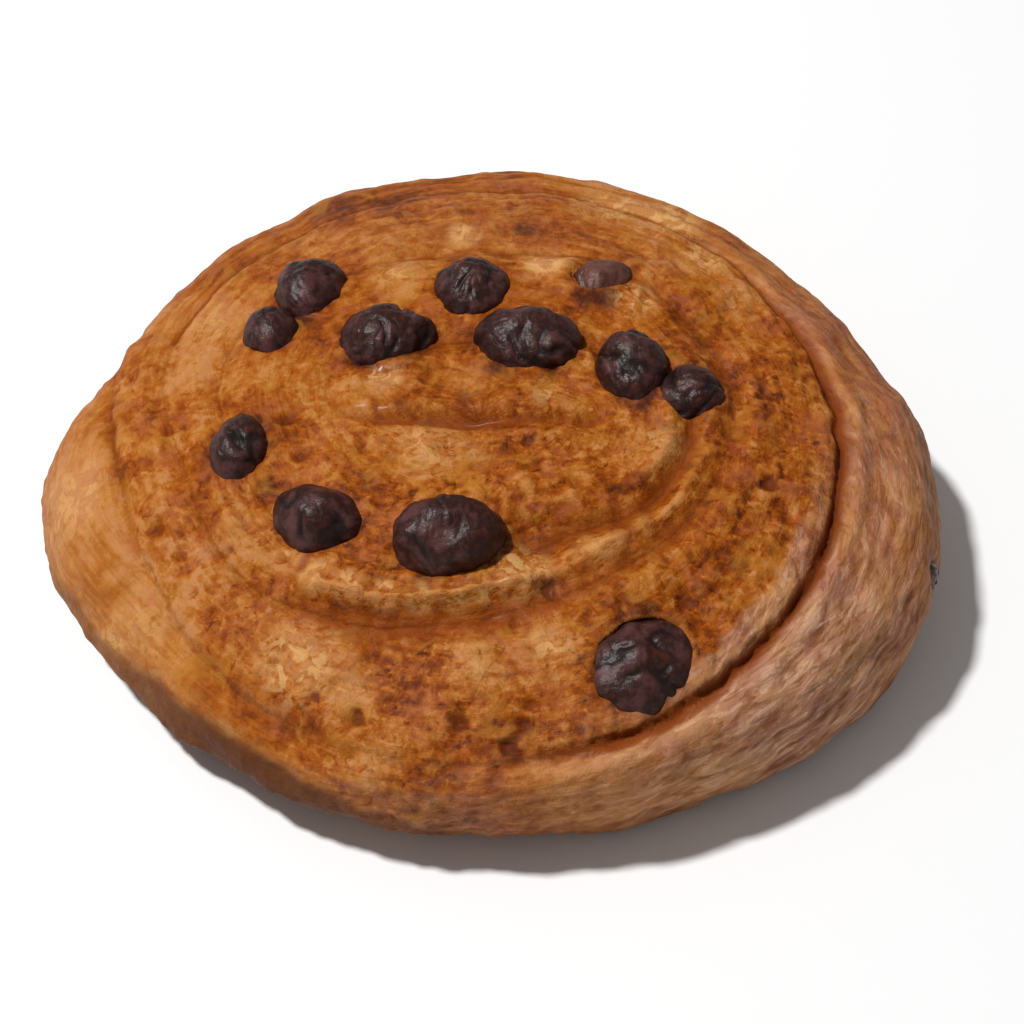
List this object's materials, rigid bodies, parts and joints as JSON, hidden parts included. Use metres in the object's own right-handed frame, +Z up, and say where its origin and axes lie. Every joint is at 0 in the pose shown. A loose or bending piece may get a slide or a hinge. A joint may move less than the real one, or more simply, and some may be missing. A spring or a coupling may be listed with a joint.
{
  "type": "raisin swirl pastry",
  "caption": "Round, domed swirl of laminated dough rolled up with custard, dark plump raisins caught in the grooves between its coils.",
  "frame": {"origin": "centre of the bounding box at the flat base the pastry rests on", "axes": "+Z up through the top the picture shows, +X to the picture's right along the longest side, +Y away from the picture's camera; the roll's loose end is at the upper left (-X, +Y)"},
  "size_m": [0.1063, 0.0916, 0.0288],
  "materials": {
    "dough": "golden-brown baked laminated dough with a thin sugar glaze",
    "custard": "baked custard, pale yellow-brown, glazed",
    "raisin": "dark wrinkled raisin skin, semi-gloss"
  },
  "bodies": {
    "root": {"dough": "dough", "custard": "custard", "raisin_back_left": "raisin", "raisin_left_of_back": "raisin", "raisin_inner_left": "raisin", "raisin_back": "raisin", "raisin_inner_back": "raisin", "raisin_back_right": "raisin", "raisin_inner_right": "raisin", "raisin_right_end": "raisin", "raisin_left": "raisin", "raisin_front_left": "raisin", "raisin_front": "raisin", "raisin_outer_front": "raisin", "raisin_side": "raisin"}
  },
  "joints": []
}
